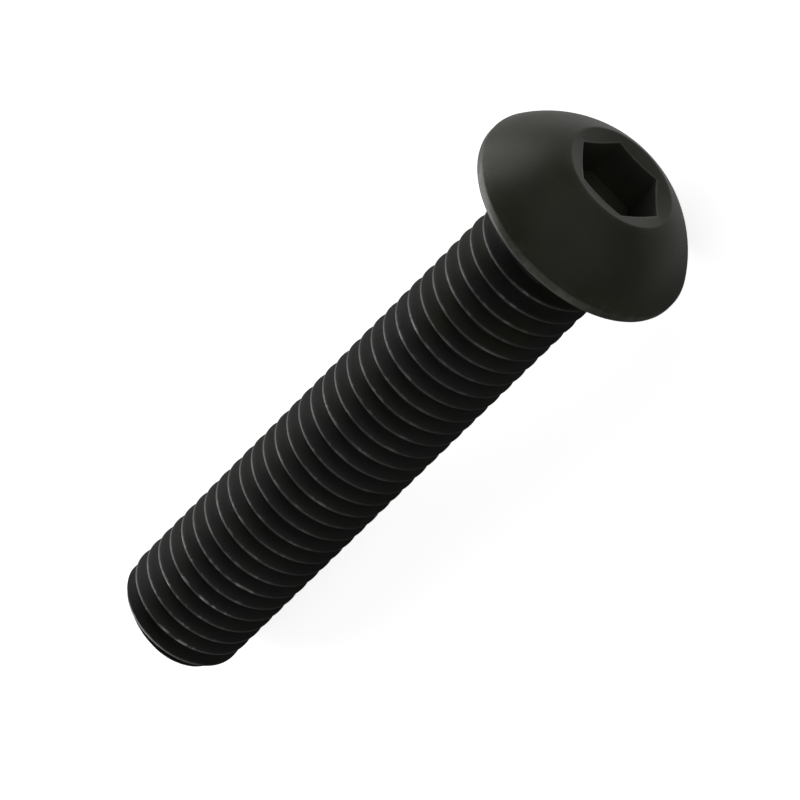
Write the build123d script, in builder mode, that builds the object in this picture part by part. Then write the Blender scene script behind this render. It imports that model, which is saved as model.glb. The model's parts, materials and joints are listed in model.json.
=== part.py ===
"""Button head socket screw, M10 x 1.5 x 50, lying on its side.

The screw is one forged and rolled piece. Its section is drawn beside the screw's own axis, turned
about it, and the head is then broached with a hexagon socket. The shank is drawn at the diameter
over the thread crests. The screw rests on the rim of its head and on the corner of its tip chamfer,
so its axis leans up towards the head. +Z is up, and the origin is on the surface that the screw
lies on, under the middle of its length, with the head towards +X.
"""

import os
from math import asin, atan2, cos, degrees, hypot, radians, sin, tan

from build123d import *

# Thread and shank, millimetres
nominal_diameter = 10.0  # thread size
crest_allowance = 0.15  # what a medium fit external thread measures under its nominal size
shank_length = 50.0  # from the bearing face to the tip
tip_chamfer_length = 1.1  # along the axis
tip_chamfer_depth = 0.75  # across the axis
under_head_radius = 0.5  # fillet between the shank and the bearing face

# Head
head_diameter = 17.25
head_height = 5.2  # from the bearing face to the edge of the socket mouth
rim_height = 0.9  # from the bearing face to the foot of the dome
rim_round = 0.45  # rounded corner between the bearing face and the rim

# Socket
key_size = 6.0  # across the flats of the key
key_clearance = 0.12  # what the socket measures over its key, across the flats
key_depth = 3.5  # from the edge of the mouth to the end of the flats
mouth_margin = 1.4  # what the mouth measures over the corners of the socket, across the axis
mouth_half_angle = 75.0  # degrees between the axis and the chamfer of the mouth
floor_diameter = 5.6  # round dish that the punch leaves in the floor
floor_half_angle = 75.0  # degrees between the axis and the side of that dish

# Where the turned faces start and end, in degrees around the axis from the underside towards -Y
seam_turn = 20.0

# What follows from them
crest_radius = (nominal_diameter - crest_allowance) / 2
tip_radius = crest_radius - tip_chamfer_depth
head_radius = head_diameter / 2
across_flats = key_size + key_clearance
across_corners = across_flats / cos(radians(30))
mouth_radius = (across_corners + mouth_margin) / 2
floor_radius = floor_diameter / 2
floor_level = head_height - key_depth
mouth_dish_depth = mouth_radius / tan(radians(mouth_half_angle))
floor_dish_depth = floor_radius / tan(radians(floor_half_angle))

# The dome is part of a ball centred on the axis, through the top of the rim and the socket mouth
dome_centre = ((head_height**2 + mouth_radius**2) - (rim_height**2 + head_radius**2)) / (
    2 * (head_height - rim_height)
)
dome_radius = hypot(rim_height - dome_centre, head_radius)

# At rest the screw touches the floor at the corner of its tip chamfer and on the rounded rim
tip_corner_to_rim = head_radius - rim_round - crest_radius
tip_corner_to_head = shank_length - tip_chamfer_length + rim_round
lean = atan2(tip_corner_to_rim, tip_corner_to_head) + asin(
    rim_round / hypot(tip_corner_to_rim, tip_corner_to_head)
)
seat_height = (shank_length - tip_chamfer_length) * sin(lean) + crest_radius * cos(lean)
reach_to_head = head_height * cos(lean) + mouth_radius * sin(lean)
reach_to_tip = shank_length * cos(lean) + tip_radius * sin(lean)
seat_centre = Vector((reach_to_tip - reach_to_head) / 2, 0, seat_height)
to_head = Vector(cos(lean), 0, sin(lean))

# Half section: X runs along the screw from the bearing face towards the head, Y away from its axis,
# turned so that the seam of the turned faces stays clear of the line that the screw rests on
level_across = Vector(0, 1, 0)
screw_axis = Axis(seat_centre, to_head)
across_section = level_across.rotate(Axis((0, 0, 0), to_head), -seam_turn)
section_plane = Plane(origin=seat_centre, x_dir=to_head, z_dir=across_section)
mouth_plane = Plane(origin=seat_centre + to_head * head_height, x_dir=level_across, z_dir=to_head)

with BuildPart() as screw:
    with BuildSketch(section_plane):
        with BuildLine():
            shank = Polyline(
                (-shank_length, 0),
                (-shank_length, tip_radius),
                (-shank_length + tip_chamfer_length, crest_radius),
                (-under_head_radius, crest_radius),
            )
            under_head = JernArc(shank @ 1, (1, 0), under_head_radius, 90)
            bearing = Line(under_head @ 1, (0, head_radius - rim_round))
            rim_corner = JernArc(bearing @ 1, (0, 1), rim_round, -90)
            rim = Line(rim_corner @ 1, (rim_height, head_radius))
            dome = RadiusArc(rim @ 1, (head_height, mouth_radius), dome_radius)
            Polyline(dome @ 1, (head_height - mouth_dish_depth, 0), shank @ 0)
        make_face()
    revolve(axis=screw_axis)

    # Broach the hexagon, two of its corners upright
    with BuildSketch(mouth_plane):
        RegularPolygon(radius=across_flats / 2, side_count=6, major_radius=False, rotation=90)
    extrude(amount=-key_depth, mode=Mode.SUBTRACT)

    # Round dish in the floor of the socket
    with BuildSketch(section_plane):
        with BuildLine():
            Polyline(
                (floor_level, 0),
                (floor_level, floor_radius),
                (floor_level - floor_dish_depth, 0),
                close=True,
            )
        make_face()
    revolve(axis=screw_axis, mode=Mode.SUBTRACT)

screw.part.label = "screw"
os.makedirs("parts", exist_ok=True)
export_step(screw.part, "parts/screw.step")

print(f"lean {degrees(lean):.3f} degrees, dome radius {dome_radius:.3f}, dome centre {dome_centre:.3f}")
print(f"seat centre {tuple(round(c, 4) for c in seat_centre)}, towards the head {tuple(to_head)}")
print(f"shank radius {crest_radius:.4f}, corners {across_corners:.3f}, mouth radius {mouth_radius:.3f}")
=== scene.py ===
"""Button head socket screw, M10 x 1.5 x 50, in black oxide steel, lying on its side.

The screw is modelled upright about its own axis, in millimetres, and laid in place at the end. Z runs
along the screw from the bearing face towards the head, and Y leans up when the screw lies in place. A
rolled thread is wound from the section of one pitch, its ends are worked to the neck and the tip
chamfer, and the turned head with its broached socket is bridged to it, so that the screw is one closed
mesh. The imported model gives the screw's place and the sizes that its mounts state.
"""

import json
import logging
from collections.abc import Callable, Iterable, Sequence
from dataclasses import dataclass, field
from enum import Enum
from itertools import pairwise
from math import atan2, ceil, cos, degrees, hypot, pi, radians, sin, sqrt, tan, tau

import bmesh
import bpy
from mathutils import Matrix, Vector


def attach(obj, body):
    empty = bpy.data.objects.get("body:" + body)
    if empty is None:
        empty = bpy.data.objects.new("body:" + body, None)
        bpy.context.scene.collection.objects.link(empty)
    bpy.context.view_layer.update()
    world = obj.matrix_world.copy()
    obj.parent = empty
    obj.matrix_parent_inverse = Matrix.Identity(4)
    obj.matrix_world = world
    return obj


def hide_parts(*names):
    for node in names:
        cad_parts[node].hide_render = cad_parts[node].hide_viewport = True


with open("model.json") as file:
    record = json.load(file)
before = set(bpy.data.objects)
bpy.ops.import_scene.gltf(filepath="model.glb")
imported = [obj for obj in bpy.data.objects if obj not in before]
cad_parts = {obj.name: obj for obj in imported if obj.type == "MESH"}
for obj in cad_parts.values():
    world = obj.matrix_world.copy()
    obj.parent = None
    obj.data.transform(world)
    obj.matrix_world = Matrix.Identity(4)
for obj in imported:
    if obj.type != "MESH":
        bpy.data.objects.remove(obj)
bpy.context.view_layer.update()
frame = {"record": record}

MM = 0.001  # in metres
FACETS = 120  # of a full turn

# How near points lie to each other to be joined, and to a cut to be on it, in millimetres
JOIN_GAP = 1e-4
CUT_GAP = 1e-5

# Form of a metric thread: the slope of its flanks in degrees, half the width of its crest as a share
# of the pitch, its depth as a share of the flanks' whole triangle, and the radius of its root as a
# share of the pitch
FLANK_ANGLE = 30.0
CREST_SHARE = 1 / 16
DEPTH_SHARE = 17 / 24
ROOT_ROUND_SHARE = 0.14434

Colour = tuple[float, float, float, float]

# A point of a section, which makes a ring when it is turned: its distance from the axis and its height
Ring = tuple[float, float]

log = logging.getLogger("button_head_screw")


class Hand(Enum):
    """Which way a thread winds as it climbs towards the head."""

    RIGHT = 1
    LEFT = -1


# ---------------------------------------------------------------------------------------------------
# Work at the bench: small steps that every piece shares
# ---------------------------------------------------------------------------------------------------


def deselect() -> None:
    """Leaves edit mode with nothing selected."""
    if bpy.context.object and bpy.context.object.mode != "OBJECT":
        bpy.ops.object.mode_set(mode="OBJECT")
    bpy.ops.object.select_all(action="DESELECT")


def activate(*pieces: bpy.types.Object) -> None:
    """Selects the pieces and makes the first one active.

    Args:
        pieces: the objects to select.
    """
    deselect()
    for piece in pieces:
        piece.select_set(True)
    bpy.context.view_layer.objects.active = pieces[0]


def apply_modifiers(piece: bpy.types.Object) -> None:
    """Applies every modifier of a piece, in order.

    Args:
        piece: the object whose modifiers are applied.
    """
    activate(piece)
    for modifier in list(piece.modifiers):
        bpy.ops.object.modifier_apply(modifier=modifier.name)


def draw_section(name: str, points: Sequence[Ring]) -> bpy.types.Object:
    """Draws a chain of points beside the screw's axis, ready to be turned or wound about it.

    Args:
        name: the new object's name.
        points: distance from the axis and height, in order.

    Returns:
        The chain of edges, in the XZ plane.
    """
    deselect()
    bpy.ops.mesh.primitive_plane_add(size=1.0)
    section = bpy.context.object
    section.name = name
    bpy.ops.object.mode_set(mode="EDIT")
    bpy.ops.mesh.select_mode(type="VERT")
    bpy.ops.mesh.select_all(action="SELECT")
    bpy.ops.mesh.merge(type="CENTER")
    bpy.ops.transform.translate(value=(points[0][0], 0.0, points[0][1]))
    for (r_from, z_from), (r_to, z_to) in pairwise(points):
        step = (r_to - r_from, 0.0, z_to - z_from)
        bpy.ops.mesh.extrude_vertices_move(TRANSFORM_OT_translate={"value": step})
    bpy.ops.object.mode_set(mode="OBJECT")
    return section


def arc(centre: Ring, radius: float, start: float, end: float, steps: int) -> list[Ring]:
    """Points of an arc in the section plane.

    Args:
        centre: distance from the axis and height of the arc's centre.
        radius: the arc's radius.
        start: the first point's angle in degrees, counted from the outward direction up.
        end: the last point's angle in degrees.
        steps: how many straight edges the arc has.

    Returns:
        The steps + 1 points, both ends included.
    """
    angles = [radians(start + (end - start) * k / steps) for k in range(steps + 1)]
    return [(centre[0] + radius * cos(a), centre[1] + radius * sin(a)) for a in angles]


def select_open_edges(piece: bpy.types.Object, near: Callable[[Vector], bool]) -> None:
    """Selects the edges of open loops in edit mode, where both ends pass a test.

    Args:
        piece: the object in edit mode.
        near: says whether a point belongs to the loop that is wanted.
    """
    bpy.ops.mesh.select_mode(type="EDGE")
    bpy.ops.mesh.select_all(action="DESELECT")
    mesh = bmesh.from_edit_mesh(piece.data)
    for edge in mesh.edges:
        if edge.is_boundary and all(near(vert.co) for vert in edge.verts):
            edge.select_set(True)
    bmesh.update_edit_mesh(piece.data)


def reshape_selected(piece: bpy.types.Object, place: Callable[[Vector], Vector]) -> None:
    """Moves the selected vertices in edit mode.

    Args:
        piece: the object in edit mode.
        place: gives each vertex its new place.
    """
    mesh = bmesh.from_edit_mesh(piece.data)
    for vert in mesh.verts:
        if vert.select:
            vert.co = place(vert.co)
    bmesh.update_edit_mesh(piece.data)


def at_radius(point: Vector, radius: float, height: float) -> Vector:
    """The point at another distance from the axis and another height, in the same direction."""
    reach = hypot(point.x, point.y)
    return Vector((point.x / reach * radius, point.y / reach * radius, height))


def ease(value: float) -> float:
    """A smooth step from 0 to 1 while value goes from 0 to 1."""
    held = min(max(value, 0.0), 1.0)
    return held * held * (3.0 - 2.0 * held)


def soft_least(first: float, second: float, blend: float) -> float:
    """The smaller of two values, with the corner between them rounded.

    Args:
        first: one value.
        second: the other value.
        blend: how far apart the two are where the rounding begins.

    Returns:
        The rounded smaller value.
    """
    share = max(blend - abs(first - second), 0.0) / blend
    return min(first, second) - share * share * blend / 4


# ---------------------------------------------------------------------------------------------------
# Where the screw lies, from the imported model's mounts
# ---------------------------------------------------------------------------------------------------


@dataclass
class ScrewFrame:
    """The screw's own frame in the row frame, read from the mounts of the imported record."""

    mounts: dict[str, dict]
    seat: Vector = field(init=False)
    to_head: Vector = field(init=False)

    def __post_init__(self) -> None:
        """Finds the axis from the thread, and the seat where the bearing face crosses it."""
        thread = self.mounts["thread"]
        bearing = Vector(self.mounts["bearing_face"]["pos_m"])
        on_axis = Vector(thread["pos_m"])
        self.to_head = -Vector(thread["axis"]).normalized()
        self.seat = on_axis + self.to_head * (bearing - on_axis).dot(self.to_head)

    @property
    def across(self) -> Vector:
        """The level direction square to the screw."""
        return Vector((0.0, 1.0, 0.0))

    @property
    def upward(self) -> Vector:
        """The direction square to the screw that leans up."""
        return self.to_head.cross(self.across).normalized()

    @property
    def crest_radius(self) -> float:
        """Radius over the thread crests, in millimetres."""
        return self.mounts["thread"]["dims"]["r_mm"]

    @property
    def head_height(self) -> float:
        """From the bearing face to the edge of the socket mouth, in millimetres."""
        mouth = Vector(self.mounts["hex_socket"]["pos_m"])
        return (mouth - self.seat).dot(self.to_head) / MM

    def matrix(self) -> Matrix:
        """Takes upright millimetres to the row frame in metres."""
        turned = Matrix((self.across, self.upward, self.to_head)).transposed().to_4x4()
        return Matrix.Translation(self.seat) @ turned @ Matrix.Scale(MM, 4)


# ---------------------------------------------------------------------------------------------------
# The screw's two stretches
# ---------------------------------------------------------------------------------------------------


@dataclass
class ThreadedShank:
    """Shank with a rolled metric thread, from the neck under the head to the chamfered tip.

    Heights count from the bearing face towards the head, in millimetres. start_height shifts the
    winding along the axis. spare_turns are cut off at its two ends, and until then no point of it comes
    nearer to the axis than least_radius. tip_face_shares place the rings of the tip's face, each as a
    share of the one before.
    """

    crest_radius: float
    length: float = 50.0
    pitch: float = 1.5
    hand: Hand = Hand.RIGHT
    start_height: float = 0.55
    spare_turns: int = 4
    crest_round: float = 0.06
    crest_steps: int = 2
    root_steps: int = 2
    flank_steps: int = 3
    neck_radius: float = 4.40
    neck_height: float = -0.55
    full_thread_height: float = -3.1
    neck_end_height: float = -1.9
    tip_chamfer_length: float = 1.1
    tip_chamfer_depth: float = 0.75
    tip_blend: float = 0.05
    tip_cuts: int = 2
    tip_round: float = 0.12
    tip_round_steps: int = 3
    tip_face_shares: tuple[float, float] = (0.6, 0.5)
    least_radius: float = 0.1

    def half_pitch_section(self) -> list[Ring]:
        """Section of half a pitch, from the middle of the crest down to the middle of the root.

        Returns:
            Distance from the axis and height below the crest's middle, in order.
        """
        turned = 90.0 - FLANK_ANGLE
        root_round = ROOT_ROUND_SHARE * self.pitch
        triangle = self.pitch * sqrt(3) / 2
        root_radius = self.crest_radius - DEPTH_SHARE * triangle
        crest_corner = CREST_SHARE * self.pitch - self.crest_round * tan(radians(turned / 2))
        crest_centre = (self.crest_radius - self.crest_round, crest_corner)
        crest = arc(crest_centre, self.crest_round, 0.0, turned, self.crest_steps)
        root_centre = (root_radius + root_round, self.pitch / 2)
        root = arc(root_centre, root_round, 180.0 + turned, 180.0, self.root_steps)
        (r_top, z_top), (r_low, z_low) = crest[-1], root[0]
        shares = [k / self.flank_steps for k in range(1, self.flank_steps)]
        between = [(r_top + (r_low - r_top) * t, z_top + (z_low - z_top) * t) for t in shares]
        return [(self.crest_radius, 0.0), *crest, *between, *root]

    def worked(self, point: Vector) -> Vector:
        """Works a point of the wound thread to the neck under the head and to the tip chamfer.

        Args:
            point: a point of the thread.

        Returns:
            The same point at its finished distance from the axis.
        """
        radius = hypot(point.x, point.y)
        runout = self.neck_end_height - self.full_thread_height
        toward_neck = ease((point.z - self.full_thread_height) / runout)
        radius += (self.neck_radius - radius) * toward_neck
        slope = self.tip_chamfer_depth / self.tip_chamfer_length
        above_tip = point.z + self.length
        cone = self.crest_radius - self.tip_chamfer_depth + above_tip * slope
        radius = soft_least(radius, cone, self.tip_blend)
        return at_radius(point, max(radius, self.least_radius), point.z)

    def wind(self) -> bpy.types.Object:
        """Winds the section of one pitch about the axis.

        Returns:
            The helical skin, longer than the shank at both ends.
        """
        half = self.half_pitch_section()
        whole = [(r, -z) for r, z in reversed(half)] + half[1:]
        turns = ceil(self.length / self.pitch) + self.spare_turns
        lowest = -self.length - self.spare_turns / 2 * self.pitch + self.start_height
        shank = draw_section("screw", [(r, lowest + z) for r, z in whole])
        winding = shank.modifiers.new("winding", "SCREW")
        winding.axis = "Z"
        winding.angle = tau * self.hand.value
        winding.screw_offset = self.pitch
        winding.iterations = turns
        winding.steps = FACETS
        winding.render_steps = FACETS
        winding.use_merge_vertices = True
        winding.merge_threshold = JOIN_GAP
        apply_modifiers(shank)
        return shank

    def build(self) -> bpy.types.Object:
        """Makes the shank: winds the thread, works its ends, cuts it to length and closes the tip.

        Returns:
            The shank, open only at its neck.
        """
        shank = self.wind()
        activate(shank)
        bpy.ops.object.mode_set(mode="EDIT")
        bpy.ops.mesh.select_all(action="SELECT")
        bpy.ops.mesh.remove_doubles(threshold=JOIN_GAP)
        self.refine_tip(shank)
        bpy.ops.mesh.select_all(action="SELECT")
        reshape_selected(shank, self.worked)
        up = (0.0, 0.0, 1.0)
        neck = (0.0, 0.0, self.neck_height)
        bpy.ops.mesh.bisect(plane_co=neck, plane_no=up, clear_outer=True, threshold=CUT_GAP)
        bpy.ops.mesh.select_all(action="SELECT")
        tip = (0.0, 0.0, -self.length + self.tip_round)
        bpy.ops.mesh.bisect(plane_co=tip, plane_no=up, clear_inner=True, threshold=CUT_GAP)
        self.close_tip(shank, tip[2])
        bpy.ops.object.mode_set(mode="OBJECT")
        return shank

    def refine_tip(self, shank: bpy.types.Object) -> None:
        """Cuts the faces around the tip chamfer finer, so that its edges in the thread come out crisp.

        Args:
            shank: the shank in edit mode.
        """
        margin = self.pitch / 3
        low = -self.length - margin
        high = -self.length + self.tip_chamfer_length + margin
        bpy.ops.mesh.select_mode(type="FACE")
        bpy.ops.mesh.select_all(action="DESELECT")
        mesh = bmesh.from_edit_mesh(shank.data)
        for face in mesh.faces:
            face.select_set(all(low < vert.co.z < high for vert in face.verts))
        bmesh.update_edit_mesh(shank.data)
        bpy.ops.mesh.subdivide(number_cuts=self.tip_cuts)
        bpy.ops.mesh.select_mode(type="VERT")

    def close_tip(self, shank: bpy.types.Object, cut: float) -> None:
        """Rounds the tip's edge ring by ring and closes its flat face to a point in its middle.

        Args:
            shank: the shank in edit mode.
            cut: the height of the open loop at the tip.
        """
        select_open_edges(shank, lambda co: abs(co.z - cut) < JOIN_GAP)
        for k in range(1, self.tip_round_steps + 1):
            turn = pi / 2 * k / self.tip_round_steps
            before = pi / 2 * (k - 1) / self.tip_round_steps
            inward = self.tip_round * (cos(before) - cos(turn))
            height = cut - self.tip_round * sin(turn)
            bpy.ops.mesh.extrude_edges_move()
            reshape_selected(shank, lambda co: at_radius(co, hypot(co.x, co.y) - inward, height))
        for share in self.tip_face_shares:
            bpy.ops.mesh.extrude_edges_move()
            reshape_selected(shank, lambda co: at_radius(co, hypot(co.x, co.y) * share, -self.length))
        bpy.ops.mesh.extrude_edges_move()
        bpy.ops.mesh.merge(type="CENTER")


@dataclass
class ButtonHead:
    """Domed head with its rim, bearing face, neck fillet and broached hexagon socket.

    Heights count from the bearing face, in millimetres. The turns say how far the rounding of an edge
    has gone sideways and down at a ring of the mesh, and flats_sink how far down it ends, all as shares
    of mouth_round. wall_share is a share of the key's depth, from the floor up, and dish_shares are
    shares of the dish's radius.
    """

    height: float
    neck_radius: float
    diameter: float = 17.25
    fillet: float = 0.5
    rim_height: float = 0.9
    rim_round: float = 0.45
    crown_round: float = 0.10
    across_flats: float = 6.12
    key_depth: float = 3.5
    mouth_margin: float = 1.4
    mouth_half_angle: float = 75.0
    mouth_round: float = 0.07
    mouth_turn: tuple[float, float] = (0.30, 0.10)
    flats_turn: tuple[float, float] = (0.35, 0.10)
    flats_sink: float = 0.7
    wall_share: float = 0.45
    floor_diameter: float = 5.6
    floor_half_angle: float = 75.0
    dish_shares: tuple[float, float] = (0.6, 0.25)
    dome_steps: int = 26
    corner_steps: int = 6

    @property
    def radius(self) -> float:
        """Outer radius of the head."""
        return self.diameter / 2

    @property
    def mouth_radius(self) -> float:
        """Radius of the round edge of the socket mouth."""
        return (self.across_flats / cos(radians(30)) + self.mouth_margin) / 2

    @property
    def dome_centre(self) -> float:
        """Height of the centre of the ball that the dome is part of.

        Returns:
            The height above the bearing face.
        """
        rim = self.rim_height**2 + self.radius**2
        mouth = self.height**2 + self.mouth_radius**2
        return (mouth - rim) / (2 * (self.height - self.rim_height))

    def turned_section(self) -> list[Ring]:
        """Section of the turned head, from the neck out over the rim and up to the mouth.

        Returns:
            Distance from the axis and height, in order.
        """
        fillet_centre = (self.neck_radius + self.fillet, -self.fillet)
        fillet = arc(fillet_centre, self.fillet, 180, 90, self.corner_steps)
        corner_centre = (self.radius - self.rim_round, self.rim_round)
        corner = arc(corner_centre, self.rim_round, -90, 0, self.corner_steps)
        ball = hypot(self.radius, self.rim_height - self.dome_centre)
        low = degrees(atan2(self.rim_height - self.dome_centre, self.radius))
        high = degrees(atan2(self.height - self.dome_centre, self.mouth_radius))
        crown = self.eased_corner(ball, low)
        skip = degrees(self.crown_round / ball)
        edge = degrees(self.mouth_round / ball)
        dome = arc((0.0, self.dome_centre), ball, low + skip, high - edge, self.dome_steps)
        bearing = (self.radius + self.neck_radius) / 2
        return [*fillet, (bearing, 0.0), *corner, *crown, *dome]

    def eased_corner(self, ball: float, low: float) -> list[Ring]:
        """Rounded corner between the upright rim and the dome.

        Args:
            ball: the dome's radius.
            low: the angle of the rim's edge on the dome, in degrees.

        Returns:
            The points below the dome's first one.
        """
        start = (self.radius, self.rim_height - self.crown_round)
        tip = (self.radius, self.rim_height)
        after = radians(low) + self.crown_round / ball
        end = (ball * cos(after), self.dome_centre + ball * sin(after))
        points = []
        for k in range(self.corner_steps):
            t = k / self.corner_steps
            weights = ((1 - t) ** 2, 2 * t * (1 - t), t * t)
            points.append(
                tuple(sum(w * p[i] for w, p in zip(weights, (start, tip, end))) for i in range(2))
            )
        return points

    def hexagon_reach(self, point: Vector, outward: float = 0.0) -> float:
        """How far the socket's wall is from the axis in the direction of a point.

        Args:
            point: the point whose direction counts. Two corners of the hexagon lie along Y.
            outward: how far outside the wall to stay.

        Returns:
            The distance from the axis.
        """
        side = pi / 3
        from_corner = (atan2(point.y, point.x) - pi / 2) % side
        return (self.across_flats / 2 + outward) / cos(from_corner - side / 2)

    def chamfer_height(self, reach: float) -> float:
        """Height of the mouth chamfer at a distance from the axis."""
        return self.height - (self.mouth_radius - reach) / tan(radians(self.mouth_half_angle))

    def build(self) -> bpy.types.Object:
        """Turns the head and broaches its socket.

        Returns:
            The head, open only at its neck.
        """
        head = draw_section("head", self.turned_section())
        bpy.ops.object.mode_set(mode="EDIT")
        bpy.ops.mesh.select_all(action="SELECT")
        bpy.ops.mesh.spin(
            steps=FACETS, angle=tau, center=(0.0, 0.0, 0.0), axis=(0.0, 0.0, 1.0), use_auto_merge=True
        )
        bpy.ops.mesh.select_all(action="SELECT")
        bpy.ops.mesh.remove_doubles(threshold=JOIN_GAP)
        self.broach(head)
        bpy.ops.object.mode_set(mode="OBJECT")
        return head

    def broach(self, head: bpy.types.Object) -> None:
        """Works the mouth, the flats and the dished floor of the socket from the dome's open loop.

        Args:
            head: the head in edit mode.
        """
        soft = self.mouth_round
        floor = self.height - self.key_depth
        dish = self.floor_diameter / 2
        (mouth_in, mouth_down), (flats_out, flats_down) = self.mouth_turn, self.flats_turn
        rings = [
            self.mouth_ring(soft * mouth_in, soft * mouth_down),
            self.mouth_ring(soft, soft / tan(radians(self.mouth_half_angle))),
            self.chamfer_ring(soft, 0.0),
            self.chamfer_ring(soft * flats_out, soft * flats_down),
            self.chamfer_ring(0.0, soft * self.flats_sink),
            self.wall_ring(floor + self.key_depth * self.wall_share),
            self.wall_ring(floor + soft),
            self.wall_ring(floor),
            lambda co: at_radius(co, (self.hexagon_reach(co) + dish) / 2, floor),
            self.floor_ring(dish),
            *(self.floor_ring(dish * share) for share in self.dish_shares),
        ]
        select_open_edges(head, lambda co: co.z > self.rim_height)
        for ring in rings:
            bpy.ops.mesh.extrude_edges_move()
            reshape_selected(head, ring)
        bpy.ops.mesh.extrude_edges_move()
        bpy.ops.mesh.merge(type="CENTER")
        last_drop = dish * self.dish_shares[-1] / tan(radians(self.floor_half_angle))
        bpy.ops.transform.translate(value=(0.0, 0.0, -last_drop))

    def mouth_ring(self, inward: float, down: float) -> Callable[[Vector], Vector]:
        """Places points on a circle that lies inward and down from the mouth's edge."""
        return lambda co: at_radius(co, self.mouth_radius - inward, self.height - down)

    def wall_ring(self, height: float) -> Callable[[Vector], Vector]:
        """Places points on the socket's flats at a height."""
        return lambda co: at_radius(co, self.hexagon_reach(co), height)

    def chamfer_ring(self, outward: float, down: float) -> Callable[[Vector], Vector]:
        """Places points around the hexagon, outward from its flats and down from the chamfer.

        Args:
            outward: how far outside the flats they lie.
            down: how far below the chamfer they lie.

        Returns:
            What gives each point its place.
        """

        def place(co: Vector) -> Vector:
            """The point's place on the ring."""
            reach = self.hexagon_reach(co, outward)
            return at_radius(co, reach, self.chamfer_height(reach) - down)

        return place

    def floor_ring(self, radius: float) -> Callable[[Vector], Vector]:
        """Places points on a circle of the dish in the socket's floor."""
        drop = (self.floor_diameter / 2 - radius) / tan(radians(self.floor_half_angle))
        return lambda co: at_radius(co, radius, self.height - self.key_depth - drop)


# ---------------------------------------------------------------------------------------------------
# Finishes
# ---------------------------------------------------------------------------------------------------


class NodeBoard:
    """A node tree with short calls to add nodes, join them and do sums."""

    def __init__(self, tree: bpy.types.NodeTree) -> None:
        """Starts with an empty tree.

        Args:
            tree: the node tree to fill.
        """
        self.tree = tree
        self.tree.nodes.clear()

    def add(self, kind: str, **settings: object) -> bpy.types.Node:
        """Adds a node and sets its plain properties.

        Args:
            kind: the node's type.
            settings: its properties by name.

        Returns:
            The node.
        """
        node = self.tree.nodes.new(kind)
        for name, value in settings.items():
            setattr(node, name, value)
        return node

    def join(self, source: object, target: bpy.types.NodeSocket) -> None:
        """Links a socket, or sets a plain value.

        Args:
            source: an output socket or a value.
            target: the input socket that takes it.
        """
        if isinstance(source, bpy.types.NodeSocket):
            self.tree.links.new(source, target)
        else:
            target.default_value = source

    def maths(self, operation: str, *values: object, clamp: bool = False) -> bpy.types.NodeSocket:
        """Adds a Math node.

        Args:
            operation: the Math node's operation.
            values: its inputs, sockets or numbers.
            clamp: whether the result is held between 0 and 1.

        Returns:
            The result's socket.
        """
        node = self.add("ShaderNodeMath", operation=operation, use_clamp=clamp)
        for value, target in zip(values, node.inputs):
            self.join(value, target)
        return node.outputs[0]

    def remap(
        self, value: object, low: float, high: float, to_low: float = 0.0, to_high: float = 1.0
    ) -> bpy.types.NodeSocket:
        """Maps a range of values to another, smoothly and held at its ends.

        Args:
            value: the socket to map.
            low: the value that gives to_low.
            high: the value that gives to_high. It may be less than low.
            to_low: the result at and before low.
            to_high: the result at and past high.

        Returns:
            The result's socket.
        """
        node = self.add("ShaderNodeMapRange", interpolation_type="SMOOTHSTEP")
        for source, target in zip((value, low, high, to_low, to_high), node.inputs):
            self.join(source, target)
        return node.outputs["Result"]

    def scale(self, colour: object, factor: object) -> bpy.types.NodeSocket:
        """Multiplies a colour by a number.

        Args:
            colour: the colour's socket.
            factor: the number or its socket.

        Returns:
            The result's socket.
        """
        node = self.add("ShaderNodeVectorMath", operation="SCALE")
        self.join(colour, node.inputs[0])
        self.join(factor, node.inputs["Scale"])
        return node.outputs["Vector"]

    def noise(self, vector: object, scale: float, detail: float, rough: float = 0.5) -> bpy.types.NodeSocket:
        """Adds a noise pattern.

        Args:
            vector: the place that it is read at.
            scale: how many of its waves fit in one unit of length.
            detail: how many finer layers it has.
            rough: how strong the finer layers are.

        Returns:
            The pattern's value, a socket.
        """
        node = self.add("ShaderNodeTexNoise")
        self.join(vector, node.inputs["Vector"])
        self.join(scale, node.inputs["Scale"])
        self.join(detail, node.inputs["Detail"])
        self.join(rough, node.inputs["Roughness"])
        return node.outputs["Fac"]

    def mix(self, share: object, first: object, second: object) -> bpy.types.NodeSocket:
        """Mixes two colours.

        Args:
            share: how much of the second colour shows, from 0 to 1.
            first: one colour.
            second: the other colour.

        Returns:
            The mixed colour's socket.
        """
        node = self.add("ShaderNodeMix", data_type="RGBA")
        for source, name in ((share, "Factor_Float"), (first, "A_Color"), (second, "B_Color")):
            target = next(s for s in node.inputs if s.identifier == name)
            self.join(source, target)
        return next(s for s in node.outputs if s.identifier == "Result_Color")


def new_group(
    name: str, inputs: dict[str, tuple[str, object]], outputs: dict[str, str]
) -> bpy.types.NodeTree:
    """Makes an empty shader node group with its sockets.

    Args:
        name: the group's name.
        inputs: each input's socket type and default value.
        outputs: each output's socket type.

    Returns:
        The group.
    """
    group = bpy.data.node_groups.new(name, "ShaderNodeTree")
    for label, (kind, default) in inputs.items():
        socket = group.interface.new_socket(label, in_out="INPUT", socket_type=kind)
        if default is not None:
            socket.default_value = default
    for label, kind in outputs.items():
        group.interface.new_socket(label, in_out="OUTPUT", socket_type=kind)
    return group


def span_about(middle: float, offsets: tuple[float, float]) -> tuple[float, float]:
    """Two values given by their offsets from a middle one."""
    return middle + offsets[0], middle + offsets[1]


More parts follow.
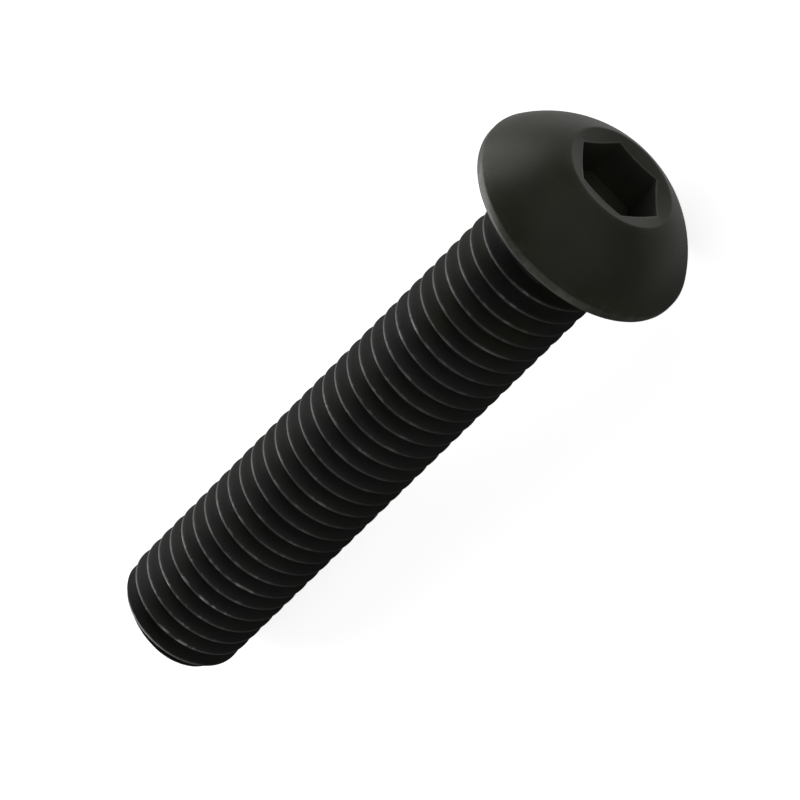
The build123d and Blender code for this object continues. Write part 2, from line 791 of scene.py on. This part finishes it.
def rubbed_ring_group() -> bpy.types.NodeTree:
    """Mask of an edge that runs round the screw's axis, broken up where it is less rubbed.

    Returns:
        The node group.
    """
    group = new_group(
        "rubbed_ring",
        {
            "Across": ("NodeSocketFloat", 0.0),
            "Height": ("NodeSocketFloat", 0.0),
            "Ring Radius": ("NodeSocketFloat", 1.0),
            "Ring Height": ("NodeSocketFloat", 0.0),
            "Width": ("NodeSocketFloat", 0.1),
            "Breaks": ("NodeSocketFloat", 0.5),
        },
        {"Mask": "NodeSocketFloat"},
    )
    board = NodeBoard(group)
    given = board.add("NodeGroupInput").outputs
    out = board.add("NodeGroupOutput").inputs
    aside = board.maths("SUBTRACT", given["Across"], given["Ring Radius"])
    above = board.maths("SUBTRACT", given["Height"], given["Ring Height"])
    squares = board.maths("ADD", board.maths("MULTIPLY", aside, aside), board.maths("MULTIPLY", above, above))
    away = board.maths("SQRT", squares)
    near = board.maths("SUBTRACT", 1.0, board.maths("DIVIDE", away, given["Width"]), clamp=True)
    board.join(board.maths("MULTIPLY", near, given["Breaks"]), out["Mask"])
    return group


def oxide_grain_group() -> bpy.types.NodeTree:
    """Fine mottling of an oxide finish, with a soft larger cloud.

    Returns:
        The node group.
    """
    group = new_group(
        "oxide_grain",
        {
            "Vector": ("NodeSocketVector", None),
            "Fine Scale": ("NodeSocketFloat", 9.0),
            "Cloud Scale": ("NodeSocketFloat", 0.28),
        },
        {"Fine": "NodeSocketFloat", "Cloud": "NodeSocketFloat"},
    )
    board = NodeBoard(group)
    given = board.add("NodeGroupInput").outputs
    out = board.add("NodeGroupOutput").inputs
    board.join(board.noise(given["Vector"], given["Fine Scale"], detail=3.0, rough=0.6), out["Fine"])
    board.join(board.noise(given["Vector"], given["Cloud Scale"], detail=2.0), out["Cloud"])
    return group


@dataclass(frozen=True)
class Mottle:
    """A soft noise pattern, spread between a least and a most value."""

    scale: float
    low: float
    high: float
    least: float = 0.0
    most: float = 1.0
    detail: float = 2.0
    roughness: float = 0.5

    def value(self, board: NodeBoard, vector: bpy.types.NodeSocket) -> bpy.types.NodeSocket:
        """Adds the pattern.

        Args:
            board: the nodes to add it to.
            vector: the place that it is read at, in millimetres.

        Returns:
            The pattern's value.
        """
        pattern = board.noise(vector, self.scale, self.detail, self.roughness)
        return board.remap(pattern, self.low, self.high, self.least, self.most)


@dataclass(frozen=True)
class RubbedRing:
    """How far beside an edge the metal is rubbed, in millimetres, and how strongly."""

    width: float
    strength: float


@dataclass(frozen=True)
class SurfacePlace:
    """Where a point of the surface lies in the screw's own frame, in millimetres.

    X is level and Y points to a corner of the hexagon. The height counts from the bearing face
    towards the head, and across is the distance from the axis.
    """

    vector: bpy.types.NodeSocket
    x: bpy.types.NodeSocket
    y: bpy.types.NodeSocket
    height: bpy.types.NodeSocket
    across: bpy.types.NodeSocket

    @classmethod
    def read(cls, board: NodeBoard, place: ScrewFrame) -> "SurfacePlace":
        """Adds the nodes that find the place from the object's coordinates.

        Args:
            board: the material's nodes.
            place: the screw's frame.

        Returns:
            The place's sockets.
        """
        upright = board.add("ShaderNodeMapping", vector_type="TEXTURE")
        matrix = place.matrix()
        board.join(board.add("ShaderNodeTexCoord").outputs["Object"], upright.inputs["Vector"])
        upright.inputs["Location"].default_value = matrix.to_translation()
        upright.inputs["Rotation"].default_value = matrix.to_3x3().normalized().to_euler()
        upright.inputs["Scale"].default_value = (MM, MM, MM)
        parts = board.add("ShaderNodeSeparateXYZ")
        board.join(upright.outputs["Vector"], parts.inputs["Vector"])
        x, y, height = parts.outputs
        squares = board.maths("ADD", board.maths("MULTIPLY", x, x), board.maths("MULTIPLY", y, y))
        return cls(upright.outputs["Vector"], x, y, height, board.maths("SQRT", squares))

    def reach(self, board: NodeBoard, turn: float) -> bpy.types.NodeSocket:
        """How far the point lies from the axis in the direction turned from X towards Y, in degrees."""
        along = board.maths("MULTIPLY", self.x, cos(radians(turn)))
        return board.maths("ADD", along, board.maths("MULTIPLY", self.y, sin(radians(turn))))

    def hexagon(self, board: NodeBoard) -> bpy.types.NodeSocket:
        """Half the size across the flats of the hexagon that the point lies on."""
        walls = [board.maths("ABSOLUTE", self.reach(board, turn)) for turn in (0.0, 60.0, 120.0)]
        return board.maths("MAXIMUM", walls[0], board.maths("MAXIMUM", walls[1], walls[2]))

    def above_tip(self, board: NodeBoard, shank: ThreadedShank) -> bpy.types.NodeSocket:
        """Height of the point above the tip."""
        return board.maths("ADD", self.height, shank.length)


@dataclass(frozen=True)
class BlackOxide:
    """Black oxide over steel: satin on the head, duller in the thread, rubbed along its edges.

    Depths, widths and spans are in millimetres, grain_height is in metres and worn_and_lit_turn in degrees
    from X towards Y: the side that faces the lamps, where the rubbed wear is held strongest as a partly
    painted highlight. A wear of 1 is bare metal, and a share is what an edge, a groove or the socket
    keeps of the wear or of the colour. The grooves and the socket also carry painted shade and painted
    light in their colour.
    """

    head_colour: Colour = (0.0285, 0.030, 0.017, 1.0)
    thread_colour: Colour = (0.0180, 0.0180, 0.0176, 1.0)
    thread_stain: Colour = (0.0190, 0.0195, 0.0125, 1.0)
    rubbed_colour: Colour = (0.300, 0.300, 0.288, 1.0)
    rubbed_metal: float = 0.75
    head_roughness: float = 0.39
    thread_roughness: float = 0.50
    rubbed_roughness: float = 0.30
    specular: float = 0.35

    # Mottling of the oxide
    grain_spread: tuple[float, float] = (0.3, 0.7)
    cloud_tint: float = 0.15
    fine_tint: float = 0.10
    fine_roughness: float = 0.04
    grain_height: float = 0.000004
    grain_strength: float = 0.35
    stains: Mottle = Mottle(0.22, 0.45, 0.62)

    # Wear, strongest on the side that faces the lamps, which makes it partly a painted highlight
    patches: Mottle = Mottle(0.45, 0.40, 0.66, least=0.14)
    nicks: Mottle = Mottle(1.3, 0.44, 0.60, least=0.08, roughness=0.6)
    # Partly painted highlight: the rubbed wear is held to this side, which faces the lamps, and kept weaker
    # on the side away from them
    worn_and_lit_turn: float = 115.0
    worn_and_lit_start: float = 0.50
    steady_share: float = 0.55
    dim_side_wear_share: float = 0.35
    crest_depth: float = 0.085
    crest_top: float = 0.005
    crest_wear: float = 0.80
    middle_span: tuple[float, float] = (9.0, 14.0)
    middle_share: float = 0.50
    tip_depth: tuple[float, float] = (-0.07, -0.02)
    tip_wear: float = 0.48
    flats_span: tuple[float, float] = (-0.01, 0.03)
    flats_edge_span: tuple[float, float] = (0.17, 0.07)
    flats_edge_depth: tuple[float, float] = (-0.25, -0.10)
    flats_edge_wear: float = 0.75
    mouth_span: tuple[float, float] = (0.02, -0.04)
    mouth_ring: RubbedRing = RubbedRing(0.17, 0.20)
    rim_ring: RubbedRing = RubbedRing(0.9, 0.18)
    rim_ring_level: float = 0.6
    corner_ring: RubbedRing = RubbedRing(0.35, 0.30)

    # Painted shade at the groove roots and in the first groove by the tip, and painted light on the lower
    # flanks and in the socket
    head_span: tuple[float, float] = (-0.25, -0.02)
    groove_per_pitch: float = 0.61
    # Painted shade: darker towards the root of each groove, where shade falls
    root_shade_depth: float = 0.18
    root_shade_share: float = 0.30
    # Painted light: lighter down the flanks, which lifts their shade
    flank_light_span: tuple[float, float] = (-0.1, 0.3)
    flank_light_share: float = 1.3
    # Painted shade: darker in the first groove above the tip
    tip_groove_shade_span: tuple[float, float] = (1.4, 1.9)
    tip_groove_shade_share: float = 0.5
    socket_span: tuple[float, float] = (0.03, 0.01)
    # Painted light: lighter inside the socket, where shade falls
    socket_light_share: float = 1.7
    socket_dullness: float = 0.7

    def material(self, place: ScrewFrame, head: ButtonHead, shank: ThreadedShank) -> bpy.types.Material:
        """Makes the material.

        Args:
            place: the screw's frame, which centres the pattern on its axis.
            head: the head, whose edges are rubbed.
            shank: the shank, whose crests are rubbed.

        Returns:
            The material.
        """
        material = bpy.data.materials.new("black_oxide_steel")
        material.use_nodes = True
        board = NodeBoard(material.node_tree)
        at = SurfacePlace.read(board, place)
        grain = board.add("ShaderNodeGroup", node_tree=oxide_grain_group())
        board.join(at.vector, grain.inputs["Vector"])
        fine = grain.outputs["Fine"]
        on_head = board.remap(at.height, *self.head_span)
        # rubbed is real wear held to the side that faces the lamps, so it is partly a painted highlight
        rubbed = self.wear(board, at, head, shank)
        oxide = self.oxide(board, at, grain, on_head, head, shank)
        roughness = board.maths(
            "ADD",
            board.remap(on_head, 0.0, 1.0, self.thread_roughness, self.head_roughness),
            board.remap(fine, *self.grain_spread, -self.fine_roughness, self.fine_roughness),
        )
        smoother = board.maths("MULTIPLY", rubbed, self.rubbed_roughness - self.thread_roughness)
        bump = board.add("ShaderNodeBump")
        bump.inputs["Strength"].default_value = self.grain_strength
        bump.inputs["Distance"].default_value = self.grain_height
        board.join(fine, bump.inputs["Height"])
        shader = board.add("ShaderNodeBsdfPrincipled")
        board.join(board.mix(rubbed, oxide, self.rubbed_colour), shader.inputs["Base Color"])
        board.join(board.maths("ADD", roughness, smoother), shader.inputs["Roughness"])
        board.join(board.maths("MULTIPLY", rubbed, self.rubbed_metal), shader.inputs["Metallic"])
        board.join(bump.outputs["Normal"], shader.inputs["Normal"])
        shader.inputs["Specular IOR Level"].default_value = self.specular
        out = board.add("ShaderNodeOutputMaterial")
        board.join(shader.outputs[0], out.inputs["Surface"])
        return material

    def oxide(
        self,
        board: NodeBoard,
        at: SurfacePlace,
        grain: bpy.types.Node,
        on_head: bpy.types.NodeSocket,
        head: ButtonHead,
        shank: ThreadedShank,
    ) -> bpy.types.NodeSocket:
        """Colour of the oxide where nothing has rubbed it, with painted shade and painted light in the
        grooves and the socket.

        Args:
            board: the material's nodes.
            at: where the point lies.
            grain: the node of the oxide's grain.
            on_head: 1 on the head and 0 on the shank.
            head: the head.
            shank: the shank.

        Returns:
            The colour's socket.
        """
        in_socket = board.remap(at.hexagon(board), *span_about(head.across_flats / 2, self.socket_span))
        in_socket = board.maths("MULTIPLY", in_socket, on_head)
        on_thread = board.mix(self.stains.value(board, at.vector), self.thread_colour, self.thread_stain)
        satin = board.maths("SUBTRACT", on_head, board.maths("MULTIPLY", in_socket, self.socket_dullness))
        plain = board.mix(satin, on_thread, self.head_colour)
        tints = [
            board.remap(grain.outputs[name], *self.grain_spread, 1.0 - tint, 1.0 + tint)
            for name, tint in (("Cloud", self.cloud_tint), ("Fine", self.fine_tint))
        ]
        mottled = board.scale(plain, board.maths("MULTIPLY", *tints))
        return board.scale(mottled, self.painted_shade_and_light(board, at, on_head, in_socket, shank))

    def painted_shade_and_light(
        self,
        board: NodeBoard,
        at: SurfacePlace,
        on_head: bpy.types.NodeSocket,
        in_socket: bpy.types.NodeSocket,
        shank: ThreadedShank,
    ) -> bpy.types.NodeSocket:
        """How much painted shade darkens the groove roots and the first groove, and painted light lightens
        the lower flanks and the socket.

        Args:
            board: the material's nodes.
            at: where the point lies.
            on_head: 1 on the head and 0 on the shank.
            in_socket: 1 inside the hexagon.
            shank: the shank.

        Returns:
            What the colour is multiplied by.
        """
        root = shank.crest_radius - shank.pitch * self.groove_per_pitch
        # Painted shade: darker towards each groove's root
        root_shade = board.remap(at.across, root, root + self.root_shade_depth, self.root_shade_share, 1.0)
        # Painted light: lighter down the flanks
        top, bottom = shank.crest_radius + self.flank_light_span[0], root + self.flank_light_span[1]
        flank_light = board.remap(at.across, top, bottom, 1.0, self.flank_light_share)
        shade_and_light = board.maths("MAXIMUM", board.maths("MULTIPLY", root_shade, flank_light), on_head)
        # Painted light: lighter inside the socket
        shade_and_light = board.maths("ADD", shade_and_light, board.maths("MULTIPLY", in_socket, self.socket_light_share - 1.0))
        above_tip = at.above_tip(board, shank)
        # Painted shade: darker in the first groove above the tip
        first = board.remap(above_tip, *self.tip_groove_shade_span, self.tip_groove_shade_share, 1.0)
        return board.maths("MULTIPLY", shade_and_light, first)

    def wear(
        self, board: NodeBoard, at: SurfacePlace, head: ButtonHead, shank: ThreadedShank
    ) -> bpy.types.NodeSocket:
        """How much of the oxide is rubbed off, all edges together, strongest on the side that faces the
        lamps, partly a painted highlight.

        Args:
            board: the material's nodes.
            at: where the point lies.
            head: the head.
            shank: the shank.

        Returns:
            The wear's socket.
        """
        breaks = board.maths(
            "MULTIPLY", self.patches.value(board, at.vector), self.nicks.value(board, at.vector)
        )
        # Partly painted highlight: the rubbed metal is strongest on the side that faces the lamps and weaker
        # on the shaded side
        towards_worn_and_lit = board.maths("DIVIDE", at.reach(board, self.worn_and_lit_turn), at.across)
        worn_and_lit_side = board.remap(towards_worn_and_lit, self.worn_and_lit_start, 1.0)
        at_edges = board.maths(
            "MULTIPLY",
            board.remap(breaks, 0.0, 1.0, self.steady_share, 1.0),
            board.remap(worn_and_lit_side, 0.0, 1.0, self.dim_side_wear_share, 1.0),
        )
        masks = [
            self.rubbed_crests(board, at, shank, board.maths("MULTIPLY", breaks, worn_and_lit_side)),
            self.rubbed_flats(board, at, head, at_edges),
            self.rubbed_tip(board, at, shank, at_edges),
        ]
        group = rubbed_ring_group()
        for radius, height, ring, pattern in (
            (head.mouth_radius, head.height, self.mouth_ring, at_edges),
            (head.radius, head.rim_height * self.rim_ring_level, self.rim_ring, breaks),
            (head.radius - head.rim_round, 0.0, self.corner_ring, breaks),
        ):
            node = board.add("ShaderNodeGroup", node_tree=group)
            board.join(at.across, node.inputs["Across"])
            board.join(at.height, node.inputs["Height"])
            board.join(radius, node.inputs["Ring Radius"])
            board.join(height, node.inputs["Ring Height"])
            board.join(ring.width, node.inputs["Width"])
            board.join(pattern, node.inputs["Breaks"])
            masks.append(board.maths("MULTIPLY", node.outputs["Mask"], ring.strength))
        most = masks[0]
        for mask in masks[1:]:
            most = board.maths("MAXIMUM", most, mask)
        return most

    def rubbed_crests(
        self, board: NodeBoard, at: SurfacePlace, shank: ThreadedShank, breaks: bpy.types.NodeSocket
    ) -> bpy.types.NodeSocket:
        """Wear of the thread crests, which is strongest towards the tip.

        Args:
            board: the material's nodes.
            at: where the point lies.
            shank: the shank.
            breaks: pattern that breaks the rubbed line up and holds it to the side that faces the lamps, a
                painted highlight.

        Returns:
            The wear's socket.
        """
        low, high = shank.crest_radius - self.crest_depth, shank.crest_radius - self.crest_top
        crest = board.remap(at.across, low, high, 0.0, self.crest_wear)
        below_head = board.remap(at.height, shank.neck_end_height, shank.full_thread_height)
        above_tip = at.above_tip(board, shank)
        by_height = board.remap(above_tip, *self.middle_span, 1.0, self.middle_share)
        worn = board.maths("MULTIPLY", board.maths("MULTIPLY", crest, below_head), by_height)
        return board.maths("MULTIPLY", worn, breaks)

    def rubbed_flats(
        self, board: NodeBoard, at: SurfacePlace, head: ButtonHead, breaks: bpy.types.NodeSocket
    ) -> bpy.types.NodeSocket:
        """Wear that keys leave on the mouth's chamfer, along the edge of the hexagon.

        Args:
            board: the material's nodes.
            at: where the point lies.
            head: the head.
            breaks: pattern that breaks the rubbed edge up and weakens it on the side away from the lamps, a
                painted highlight.

        Returns:
            The wear's socket.
        """
        half = head.across_flats / 2
        hexagon = at.hexagon(board)
        beyond = board.remap(hexagon, *span_about(half, self.flats_span))
        within = board.remap(at.across, *span_about(head.mouth_radius, self.mouth_span))
        raised = board.remap(at.height, *span_about(head.chamfer_height(half), self.flats_edge_depth))
        chamfer = board.maths("MULTIPLY", board.maths("MULTIPLY", beyond, within), raised)
        edge = board.remap(hexagon, *span_about(half, self.flats_edge_span), 0.0, self.flats_edge_wear)
        return board.maths("MULTIPLY", chamfer, board.maths("MULTIPLY", edge, breaks))

    def rubbed_tip(
        self, board: NodeBoard, at: SurfacePlace, shank: ThreadedShank, breaks: bpy.types.NodeSocket
    ) -> bpy.types.NodeSocket:
        """Wear of what the thread leaves of the tip chamfer.

        Args:
            board: the material's nodes.
            at: where the point lies.
            shank: the shank.
            breaks: pattern that breaks the rubbed edge up and weakens it on the side away from the lamps, a
                painted highlight.

        Returns:
            The wear's socket.
        """
        slope = shank.tip_chamfer_depth / shank.tip_chamfer_length
        tip_radius = shank.crest_radius - shank.tip_chamfer_depth
        cone = board.maths("ADD", board.maths("MULTIPLY", at.above_tip(board, shank), slope), tip_radius)
        outside = board.maths("SUBTRACT", at.across, cone)
        return board.maths("MULTIPLY", board.remap(outside, *self.tip_depth, 0.0, self.tip_wear), breaks)


@dataclass(frozen=True)
class PaleFloor:
    """Plain pale studio floor that runs into a white background and keeps the shadow.

    The camera sees it pale and glowing. The light that it throws back on the screw is dimmer. In the
    screw's reflections it is painted: darker near the screw, a painted shadow, and glowing past the tip
    and beside the head, a painted reflection of a bright floor that no lamp lights. Its spans are places
    along X or Y in metres, where a value starts and where it is full.
    """

    colour: Colour = (0.80, 0.80, 0.80, 1.0)
    bounce: Colour = (0.36, 0.36, 0.36, 1.0)
    glow: float = 0.80
    # Painted shadow in reflections: where the mirrored floor turns from dim near the screw to pale
    mirrored_shadow_span: tuple[float, float] = (-0.006, 0.002)
    # Painted reflection: a glow that the screw mirrors past the tip and beside the head, lit by no lamp
    tip_sheen: float = 0.80
    tip_span: tuple[float, float] = (-0.028, -0.050)
    head_sheen: float = 0.31
    head_span: tuple[float, float] = (0.0235, 0.0285)
    head_end_span: tuple[float, float] = (0.0480, 0.0310)
    head_side_span: tuple[float, float] = (-0.0240, -0.0060)

    def material(self) -> bpy.types.Material:
        """Makes the material.

        Returns:
            The material.
        """
        material = bpy.data.materials.new("pale_floor")
        material.use_nodes = True
        board = NodeBoard(material.node_tree)
        path = board.add("ShaderNodeLightPath").outputs
        paper = board.add("ShaderNodeBsdfDiffuse")
        paper.inputs["Color"].default_value = self.colour
        glow = board.add("ShaderNodeEmission")
        glow.inputs["Strength"].default_value = self.glow
        seen = board.add("ShaderNodeAddShader")
        board.join(paper.outputs[0], seen.inputs[0])
        board.join(glow.outputs[0], seen.inputs[1])
        choice = board.add("ShaderNodeMixShader")
        board.join(path["Is Camera Ray"], choice.inputs["Fac"])
        board.join(self.thrown_back(board, path["Is Glossy Ray"], paper), choice.inputs[1])
        board.join(seen.outputs[0], choice.inputs[2])
        out = board.add("ShaderNodeOutputMaterial")
        board.join(choice.outputs[0], out.inputs["Surface"])
        return material

    def thrown_back(
        self, board: NodeBoard, mirrored: bpy.types.NodeSocket, paper: bpy.types.Node
    ) -> bpy.types.NodeSocket:
        """The floor as the screw receives it, with a painted shadow and a painted glow in what the screw
        mirrors.

        Args:
            board: the material's nodes.
            mirrored: 1 where the screw mirrors the floor.
            paper: the pale surface.

        Returns:
            The shader's socket.
        """
        parts = board.add("ShaderNodeSeparateXYZ")
        board.join(board.add("ShaderNodeTexCoord").outputs["Object"], parts.inputs["Vector"])
        x, y, _ = parts.outputs
        # Painted reflection: the floor glows only in the screw's reflections, past the tip and beside the
        # head
        past_tip = board.remap(x, *self.tip_span, 0.0, self.tip_sheen)
        by_head = board.remap(x, *self.head_span, 0.0, self.head_sheen)
        by_head = board.maths("MULTIPLY", by_head, board.remap(x, *self.head_end_span))
        by_head = board.maths("MULTIPLY", by_head, board.remap(y, *self.head_side_span))
        sheen = board.add("ShaderNodeEmission")
        strength = board.maths("MULTIPLY", board.maths("ADD", past_tip, by_head), mirrored)
        board.join(strength, sheen.inputs["Strength"])
        dim = board.add("ShaderNodeBsdfDiffuse")
        dim.inputs["Color"].default_value = self.bounce
        lit = board.add("ShaderNodeMixShader")
        # Painted shadow: in the screw's reflections the floor is dim near the screw and pale beyond it
        far = board.remap(y, *self.mirrored_shadow_span)
        board.join(board.maths("MULTIPLY", far, mirrored), lit.inputs["Fac"])
        board.join(dim.outputs[0], lit.inputs[1])
        board.join(paper.outputs[0], lit.inputs[2])
        whole = board.add("ShaderNodeAddShader")
        board.join(lit.outputs[0], whole.inputs[0])
        board.join(sheen.outputs[0], whole.inputs[1])
        return whole.outputs[0]


# ---------------------------------------------------------------------------------------------------
# The whole screw, and the studio around it
# ---------------------------------------------------------------------------------------------------


@dataclass
class ButtonHeadScrew:
    """The finished screw: shank and head as one closed mesh, laid in place and dressed."""

    place: ScrewFrame
    finish: BlackOxide = BlackOxide()
    shading_angle: float = 32.0
    shank: ThreadedShank = field(init=False)
    head: ButtonHead = field(init=False)

    def __post_init__(self) -> None:
        """Takes the sizes that the mounts state."""
        self.shank = ThreadedShank(crest_radius=self.place.crest_radius)
        self.head = ButtonHead(height=self.place.head_height, neck_radius=self.shank.neck_radius)

    def build(self) -> bpy.types.Object:
        """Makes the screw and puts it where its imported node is.

        Returns:
            The finished piece.
        """
        shank = self.shank.build()
        head = self.head.build()
        activate(shank, head)
        bpy.ops.object.join()
        screw = bpy.context.object
        screw.name = "screw_dressed"
        screw.data.name = "screw_dressed"
        bpy.ops.object.mode_set(mode="EDIT")
        select_open_edges(screw, lambda co: True)
        bpy.ops.mesh.bridge_edge_loops()
        bpy.ops.mesh.select_all(action="SELECT")
        bpy.ops.mesh.normals_make_consistent(inside=False)
        bpy.ops.object.mode_set(mode="OBJECT")
        screw.matrix_world = self.place.matrix()
        bpy.ops.object.transform_apply(location=True, rotation=True, scale=True)
        bpy.ops.object.shade_smooth_by_angle(angle=radians(self.shading_angle), keep_sharp_edges=False)
        self.dress(screw)
        self.report(screw)
        return screw

    def dress(self, screw: bpy.types.Object) -> None:
        """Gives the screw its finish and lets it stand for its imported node.

        Args:
            screw: the finished mesh.
        """
        screw.data.materials.clear()
        screw.data.materials.append(self.finish.material(self.place, self.head, self.shank))
        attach(screw, "root")
        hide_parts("screw")

    def report(self, screw: bpy.types.Object) -> None:
        """Logs the mesh's size and whether it is closed.

        Args:
            screw: the finished mesh.
        """
        mesh = bmesh.new()
        mesh.from_mesh(screw.data)
        open_edges = sum(not edge.is_manifold for edge in mesh.edges)
        volume = mesh.calc_volume(signed=True) / MM**3
        triangles = sum(len(face.verts) - 2 for face in mesh.faces)
        mesh.free()
        log.info("screw: %d triangles, %d open edges, %.0f cubic mm", triangles, open_edges, volume)


@dataclass(frozen=True)
class Lamp:
    """A square soft lamp.

    Its direction is given along the view, its side is in metres, and its radiance, in watts per
    square metre and steradian, says how bright its face looks.
    """

    name: str
    rightward: float
    upward: float
    backward: float
    size: float
    radiance: float

    @property
    def power(self) -> float:
        """What the lamp gives off, in watts."""
        return self.radiance * pi * self.size**2


@dataclass
class Studio:
    """Floor, background, lamps and camera around the lying screw.

    Lengths are in metres, angles in degrees, and the lens and sensor in millimetres.
    """

    place: ScrewFrame
    axis_towards_camera: float = 36.67
    axis_in_view: float = 44.61
    turn_about_axis: float = 60.0
    aim_below_head: float = 0.02149
    aim_beside_axis: float = 0.000183
    distance: float = 0.4693
    lens: float = 299.7
    sensor: float = 36.0
    sight: tuple[float, float] = (0.01, 10.0)
    floor_size: float = 4.0
    floor_finish: PaleFloor = PaleFloor()
    room_light: float = 0.10
    lamp_distance: float = 0.5
    lamps: tuple[Lamp, ...] = (
        Lamp("side", -0.38, 0.91, -0.14, 0.50, 1.60),
        Lamp("rear", -0.87, 0.35, -0.34, 0.31, 3.0),
        Lamp("rear_low", -0.94, -0.03, -0.34, 0.26, 4.2),
        Lamp("low", -0.48, -0.84, 0.26, 0.50, 0.75),
        Lamp("front", 0.45, 0.25, 0.86, 0.80, 0.30),
    )

    def view_axes(self) -> tuple[Vector, Vector, Vector]:
        """The camera's right, up and backward directions.

        The screw's axis leans towards the camera and climbs to the upper right of the view. The
        turn is counted about the screw's axis, from the upward direction to the view's upper left.

        Returns:
            The three directions, in the row frame.
        """
        lean, climb = radians(self.axis_towards_camera), radians(self.axis_in_view)
        turn = radians(self.turn_about_axis)
        axis = self.place.to_head
        up, across = self.place.upward, self.place.across
        lower_right = -(up * cos(turn) + across * sin(turn))
        towards = up * sin(turn) - across * cos(turn)
        right = axis * cos(lean) * cos(climb) + lower_right * sin(climb) - towards * sin(lean) * cos(climb)
        top = axis * cos(lean) * sin(climb) - lower_right * cos(climb) - towards * sin(lean) * sin(climb)
        back = axis * sin(lean) + towards * cos(lean)
        return right, top, back

    def set_camera(self) -> None:
        """Places the camera."""
        right, top, back = self.view_axes()
        beside = (right - top).normalized()
        aim = self.place.seat - self.place.to_head * self.aim_below_head + beside * self.aim_beside_axis
        deselect()
        bpy.ops.object.camera_add()
        camera = bpy.context.object
        camera.name = "camera"
        turned = Matrix((right, top, back)).transposed().to_4x4()
        camera.matrix_world = Matrix.Translation(aim + back * self.distance) @ turned
        camera.data.lens = self.lens
        camera.data.sensor_width = self.sensor
        camera.data.clip_start, camera.data.clip_end = self.sight
        bpy.context.scene.camera = camera

    def lay_floor(self) -> None:
        """Lays the floor that the screw rests on."""
        deselect()
        bpy.ops.mesh.primitive_plane_add(size=self.floor_size)
        floor = bpy.context.object
        floor.name = "floor"
        floor.data.materials.append(self.floor_finish.material())

    def hang(self, lamp: Lamp) -> None:
        """Hangs a lamp that points at the screw.

        Args:
            lamp: the lamp to hang.
        """
        right, top, back = self.view_axes()
        towards = right * lamp.rightward + top * lamp.upward + back * lamp.backward
        towards.normalize()
        deselect()
        bpy.ops.object.light_add(type="AREA", location=towards * self.lamp_distance)
        hung = bpy.context.object
        hung.name = lamp.name
        hung.rotation_euler = towards.to_track_quat("Z", "Y").to_euler()
        hung.data.size = lamp.size
        hung.data.energy = lamp.power

    def light(self) -> None:
        """Hangs the lamps and sets the background."""
        for lamp in self.lamps:
            self.hang(lamp)
        world = bpy.data.worlds.new("studio")
        bpy.context.scene.world = world
        world.use_nodes = True
        board = NodeBoard(world.node_tree)
        white, room = (board.add("ShaderNodeBackground") for _ in range(2))
        for shade, strength in ((white, 1.0), (room, self.room_light)):
            shade.inputs["Color"].default_value = (1.0, 1.0, 1.0, 1.0)
            shade.inputs["Strength"].default_value = strength
        path = board.add("ShaderNodeLightPath").outputs
        choice = board.add("ShaderNodeMixShader")
        board.join(path["Is Camera Ray"], choice.inputs["Fac"])
        board.join(room.outputs[0], choice.inputs[1])
        board.join(white.outputs[0], choice.inputs[2])
        out = board.add("ShaderNodeOutputWorld")
        board.join(choice.outputs[0], out.inputs["Surface"])

    def build(self) -> None:
        """Sets up the whole studio."""
        self.set_camera()
        self.lay_floor()
        self.light()
        bpy.context.scene.view_settings.view_transform = "Standard"


def main() -> None:
    logging.basicConfig(level=logging.INFO, format="%(name)s: %(message)s")
    place = ScrewFrame({mount["name"]: mount for mount in frame["record"]["mounts"]})
    ButtonHeadScrew(place).build()
    Studio(place).build()


if __name__ == "__main__":
    main()
